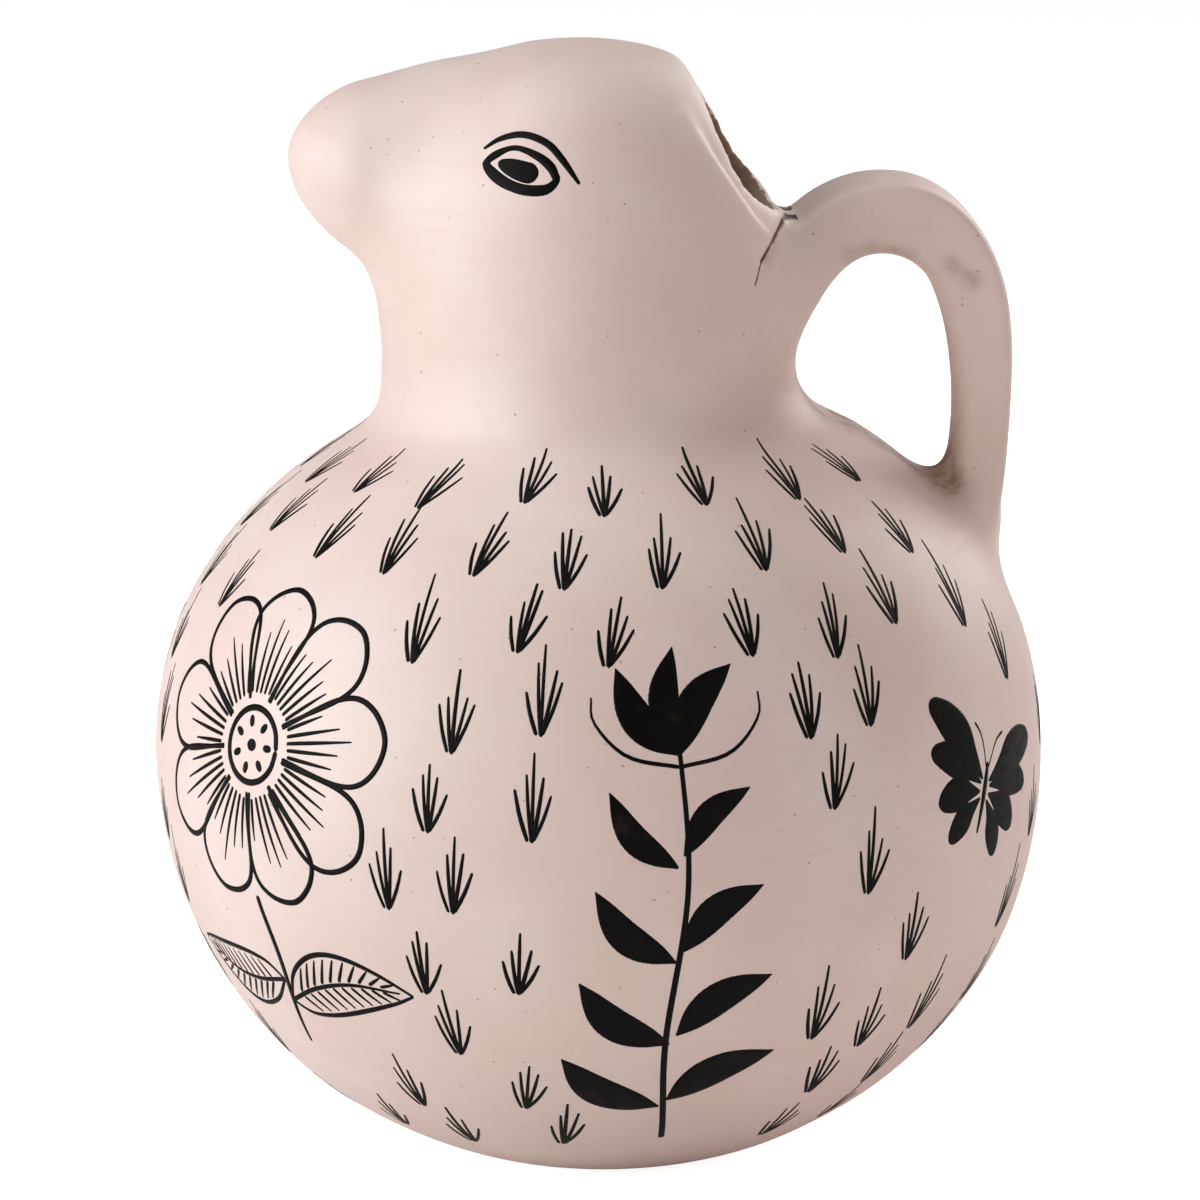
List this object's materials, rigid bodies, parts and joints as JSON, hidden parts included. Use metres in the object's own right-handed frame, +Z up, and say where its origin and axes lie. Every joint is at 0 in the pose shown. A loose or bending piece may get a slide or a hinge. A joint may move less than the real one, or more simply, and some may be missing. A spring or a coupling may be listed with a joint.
{
  "type": "clay bird jug",
  "caption": "Round-bodied clay water jug with a bird's head for a neck: blunt upturned beak, slanted oval mouth at the back of the head and an arched strap handle down to the shoulder.",
  "frame": {"origin": "centre of the flat foot, on the surface that the jug stands on", "axes": "+Z up through the body and the head, beak towards -X, handle towards +X"},
  "size_m": [0.2, 0.2, 0.2486],
  "materials": {
    "cream_slip": "burnished pinkish cream slip on earthenware",
    "bare_clay": "unslipped matt earthenware",
    "black_slip": "black slip painted by brush, satin"
  },
  "bodies": {
    "root": {"base_bowl": "cream_slip", "shoulder_dome": "cream_slip", "neck_collar": "cream_slip", "head_shell": "cream_slip", "beak": "cream_slip", "mouth_lip": "cream_slip", "handle_strap": "cream_slip", "handle_upper_lute": "cream_slip", "handle_foot_lute": "cream_slip", "body_seam_strip": "bare_clay", "neck_seam_strip": "bare_clay", "head_seam_strip": "bare_clay"}
  },
  "joints": []
}
